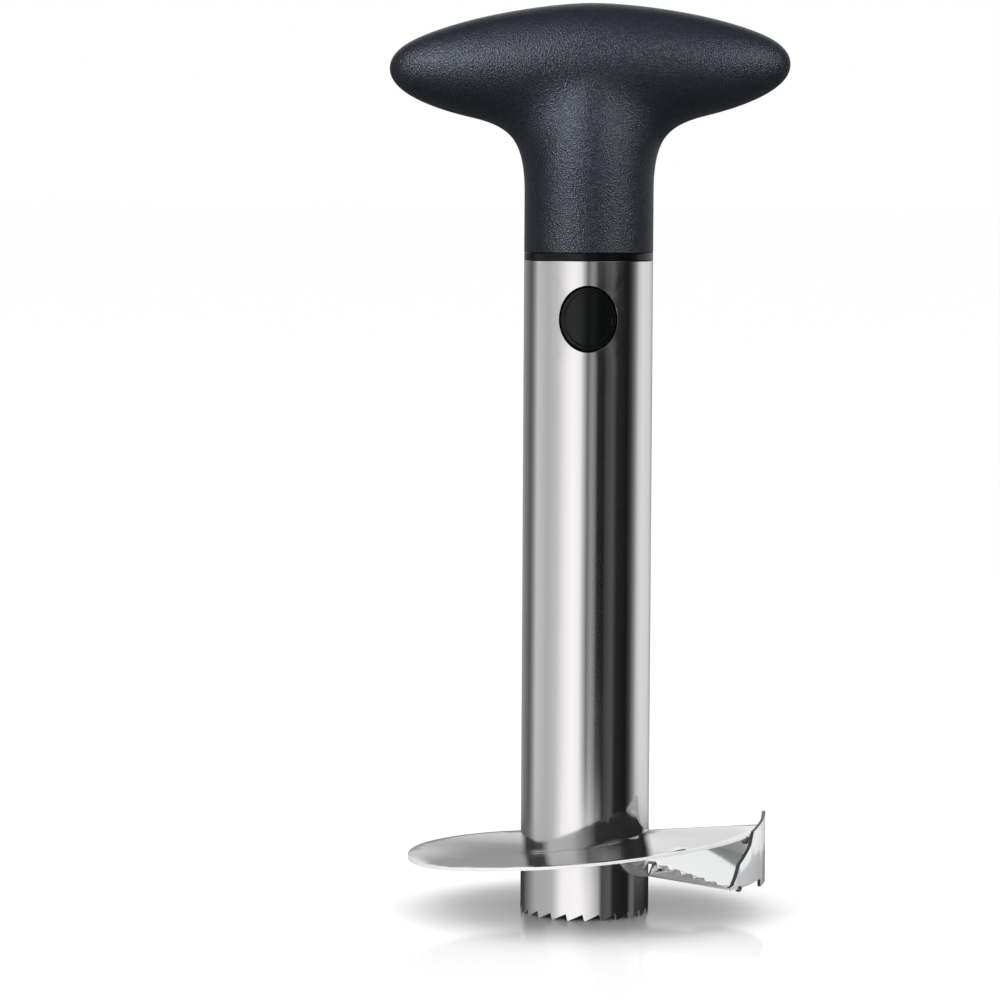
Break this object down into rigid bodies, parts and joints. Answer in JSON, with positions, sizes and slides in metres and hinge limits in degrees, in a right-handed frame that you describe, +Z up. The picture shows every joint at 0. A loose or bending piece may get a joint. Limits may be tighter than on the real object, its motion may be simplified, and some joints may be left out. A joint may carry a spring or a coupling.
{
  "type": "pineapple slicer",
  "caption": "Pineapple corer and slicer: saw-rimmed steel tube with a screw-shaped blade and rim knife, under a T-handle that a button latch holds.",
  "frame": {"origin": "on the tube's axis, level with the tips of the tube's teeth, where the slicer stands", "axes": "+Z up the tube towards the handle, the handle's bar along X, the latch button faces -Y"},
  "size_m": [0.1054, 0.094, 0.2404],
  "materials": {
    "tube_steel": "polished stainless steel",
    "blade_steel": "brushed stainless steel sheet",
    "weld_steel": "dull weld beads",
    "grip_plastic": "fine leather grain",
    "plug_plastic": "glossy black",
    "latch_plastic": "glossy black",
    "screw_steel": "plated steel"
  },
  "bodies": {
    "cutter": {"tube": "tube_steel", "blade": "blade_steel", "blade_welds": "weld_steel", "outer_knife": "blade_steel", "knife_welds": "weld_steel"},
    "handle": {"tube_plug": "plug_plastic", "grip_front_shell": "grip_plastic", "grip_rear_shell": "grip_plastic", "grip_screws": "screw_steel"},
    "latch_tongue": {"latch": "latch_plastic"}
  },
  "joints": [
    {"name": "handle_pull", "type": "slide", "parent": "cutter", "child": "handle", "axis": [0, 0, 1], "range_m": [0, 0.05], "deforming": ["latch"]},
    {"name": "latch_press", "type": "hinge", "parent": "handle", "child": "latch_tongue", "pos_m": [0, -0.0136, 0.1311], "axis": [-1, 0, 0], "range_deg": [0, 5.2], "stiffness_Nm_per_rad": 1}
  ]
}
